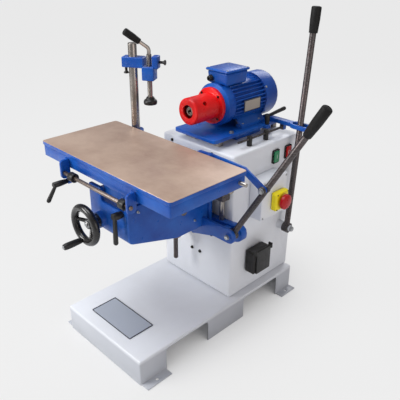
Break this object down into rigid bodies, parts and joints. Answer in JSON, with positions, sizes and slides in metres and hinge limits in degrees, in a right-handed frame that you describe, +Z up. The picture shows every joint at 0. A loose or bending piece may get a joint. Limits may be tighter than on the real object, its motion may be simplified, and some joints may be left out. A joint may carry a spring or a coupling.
{
  "type": "slot mortiser",
  "caption": "Floor-standing horizontal slot mortiser: a drill chuck on a lever-fed motor slide, over a cross-travel table that a handwheel lifts, with a hold-down clamp.",
  "frame": {"origin": "on the floor, under the middle of the plinth's front sheet, in the middle of its width", "axes": "+X is the machine's right side as seen from the front, +Y runs from the table to the motor, +Z is up"},
  "size_m": [0.794, 0.8391, 1.0657],
  "materials": {
    "white_paint": "pale grey-white powder coat, slightly textured",
    "blue_paint": "semi-gloss blue paint",
    "red_paint": "semi-gloss red paint",
    "ground_steel": "ground, lightly oiled",
    "bright_steel": "turned or drawn, bright",
    "dark_steel": "oiled, dark grey",
    "bronze": "machined bronze",
    "black_plastic": "moulded, satin black",
    "black_rubber": "soft hand grip, matt",
    "yellow_plastic": "moulded yellow",
    "red_plastic": "moulded, glossy red",
    "green_plastic": "moulded, glossy green"
  },
  "bodies": {
    "root": {"base_plinth": "white_paint", "column_cabinet": "white_paint", "rear_cover": "white_paint", "way_bearing": "dark_steel", "elevating_nut": "bronze", "slide_rail_left": "bright_steel", "slide_rail_right": "bright_steel", "stop_post_front": "black_plastic", "stop_post_rear": "black_plastic", "switch_enclosure": "white_paint", "stop_box": "yellow_plastic", "inlet_box": "black_plastic"},
    "knee": {"knee_casting": "blue_paint", "lever_arm": "blue_paint", "way_bar_left": "bright_steel", "way_bar_right": "bright_steel", "guide_bearing_front": "blue_paint", "guide_bearing_rear": "blue_paint"},
    "handwheel": {"handwheel": "black_plastic", "handwheel_shaft": "bright_steel"},
    "crank_grip": {"crank_grip": "black_plastic"},
    "elevating_screw": {"elevating_screw": "bright_steel"},
    "travel_lock": {"travel_lock_lever": "black_plastic"},
    "table": {"table_top": "ground_steel", "table_frame": "blue_paint", "guide_rod_front": "bright_steel", "guide_rod_rear": "bright_steel", "stop_bracket_left": "blue_paint", "stop_bracket_right": "blue_paint", "stop_rod": "bright_steel", "stop_collar_left": "black_plastic", "stop_collar_right": "black_plastic"},
    "stop_lock": {"stop_lock_lever": "black_plastic"},
    "clamp_post": {"clamp_post": "bright_steel"},
    "clamp_arm": {"clamp_arm": "blue_paint"},
    "arm_lock_knob": {"arm_lock_knob": "black_plastic"},
    "guide_lock_knob": {"guide_lock_knob": "black_plastic"},
    "clamp_pad": {"clamp_pad": "black_plastic"},
    "clamp_crank": {"clamp_crank": "bright_steel", "crank_sleeve": "black_rubber"},
    "table_lever": {"table_lever": "dark_steel", "table_lever_grip": "black_rubber"},
    "table_strap": {"table_strap": "blue_paint"},
    "carriage": {"motor_plate": "blue_paint", "cross_bar": "blue_paint", "motor_housing": "blue_paint", "terminal_box": "blue_paint", "terminal_lid": "blue_paint", "fan_cowl": "blue_paint", "chuck_guard": "red_paint"},
    "rotor": {"rotor_shaft": "bright_steel", "drill_chuck": "bright_steel", "cooling_fan": "black_plastic"},
    "slide_lock": {"slide_lock_lever": "black_plastic"},
    "motor_lever": {"motor_lever": "dark_steel", "motor_lever_grip": "black_rubber"},
    "green_button": {"green_button": "green_plastic"},
    "red_button": {"red_button": "red_plastic"},
    "stop_mushroom": {"stop_mushroom": "red_plastic"},
    "inlet_flap": {"inlet_flap": "black_plastic"}
  },
  "joints": [
    {"name": "knee_lift", "type": "slide", "parent": "root", "child": "knee", "axis": [0, 0, 1], "range_m": [-0.03, 0.07]},
    {"name": "handwheel_turn", "type": "hinge", "parent": "knee", "child": "handwheel", "pos_m": [-0.037, 0.06, 0.481], "axis": [0, 1, 0], "range_deg": [-2161, 5041]},
    {"name": "crank_grip_spin", "type": "hinge", "parent": "handwheel", "child": "crank_grip", "pos_m": [-0.05031, -0.043, 0.42763], "axis": [0, 1, 0], "continuous": true},
    {"name": "screw_turn", "type": "hinge", "parent": "knee", "child": "elevating_screw", "pos_m": [-0.037, 0.362, 0.44], "axis": [0, 0, 1], "range_deg": [-5041, 2161]},
    {"name": "travel_lock_turn", "type": "hinge", "parent": "knee", "child": "travel_lock", "pos_m": [0.067, 0.06, 0.536], "axis": [0, 1, 0], "range_deg": [-90, 30]},
    {"name": "table_slide", "type": "slide", "parent": "knee", "child": "table", "axis": [1, 0, 0], "range_m": [-0.08, 0.035]},
    {"name": "table_lever_swing", "type": "hinge", "parent": "knee", "child": "table_lever", "pos_m": [0.2145, 0.38, 0.3991], "axis": [0, 1, 0], "range_deg": [-20, 9]},
    {"name": "strap_swing", "type": "hinge", "parent": "table_lever", "child": "table_strap", "pos_m": [0.33933, 0.364, 0.6059], "axis": [0, 1, 0], "range_deg": [-5, 11]},
    {"name": "stop_lock_turn", "type": "hinge", "parent": "table", "child": "stop_lock", "pos_m": [-0.131, -0.012, 0.592], "axis": [0, 1, 0], "range_deg": [-90, 60]},
    {"name": "post_swing", "type": "hinge", "parent": "table", "child": "clamp_post", "pos_m": [-0.19, 0.326, 0.65], "axis": [0, 0, 1], "range_deg": [-60, 40]},
    {"name": "arm_height", "type": "slide", "parent": "clamp_post", "child": "clamp_arm", "axis": [0, 0, 1], "range_m": [-0.06, 0.045]},
    {"name": "arm_lock_turn", "type": "hinge", "parent": "clamp_arm", "child": "arm_lock_knob", "pos_m": [-0.21057, 0.31364, 0.86], "axis": [0, 0, 1], "range_deg": [-45, 360]},
    {"name": "guide_lock_turn", "type": "hinge", "parent": "clamp_arm", "child": "guide_lock_knob", "pos_m": [-0.11457, 0.37132, 0.896], "axis": [0.8572, 0.515, 0], "range_deg": [-45, 360]},
    {"name": "clamp_feed", "type": "slide", "parent": "clamp_arm", "child": "clamp_pad", "axis": [0, 0, 1], "range_m": [-0.004, 0.0201]},
    {"name": "clamp_turn", "type": "hinge", "parent": "clamp_pad", "child": "clamp_crank", "pos_m": [-0.14286, 0.35433, 0.85], "axis": [0, 0, 1], "range_deg": [-330, 1800]},
    {"name": "carriage_slide", "type": "slide", "parent": "root", "child": "carriage", "axis": [0, 1, 0], "range_m": [-0.055, 0.045]},
    {"name": "rotor_spin", "type": "hinge", "parent": "carriage", "child": "rotor", "pos_m": [0, 0.6, 0.7556], "axis": [0, 1, 0], "continuous": true},
    {"name": "slide_lock_turn", "type": "hinge", "parent": "carriage", "child": "slide_lock", "pos_m": [0.102, 0.668, 0.69], "axis": [0, 0, 1], "range_deg": [-60, 25]},
    {"name": "motor_lever_swing", "type": "hinge", "parent": "root", "child": "motor_lever", "pos_m": [0.207, 0.69, 0.302], "axis": [-1, 0, 0], "range_deg": [-9, 8]},
    {"name": "green_press", "type": "slide", "parent": "root", "child": "green_button", "axis": [-1, 0, 0], "range_m": [0, 0.003], "stiffness_N_per_m": 300},
    {"name": "red_press", "type": "slide", "parent": "root", "child": "red_button", "axis": [-1, 0, 0], "range_m": [0, 0.003], "stiffness_N_per_m": 300},
    {"name": "stop_press", "type": "slide", "parent": "root", "child": "stop_mushroom", "axis": [-1, 0, 0], "range_m": [0, 0.004]},
    {"name": "flap_turn", "type": "hinge", "parent": "root", "child": "inlet_flap", "pos_m": [0.2176, 0.548, 0.2743], "axis": [0, -1, 0], "range_deg": [0, 110]}
  ],
  "couplings": [
    {"joint": "handwheel_turn", "follows": "knee_lift", "rad_per_m": 1256.6},
    {"joint": "screw_turn", "follows": "knee_lift", "rad_per_m": -1256.6},
    {"joint": "table_lever_swing", "follows": "table_slide", "rad_per_m": 4.23},
    {"joint": "strap_swing", "follows": "table_slide", "rad_per_m": -2.242},
    {"joint": "motor_lever_swing", "follows": "carriage_slide", "rad_per_m": 2.616},
    {"joint": "clamp_feed", "follows": "clamp_turn", "m_per_rad": 0.00063662}
  ]
}
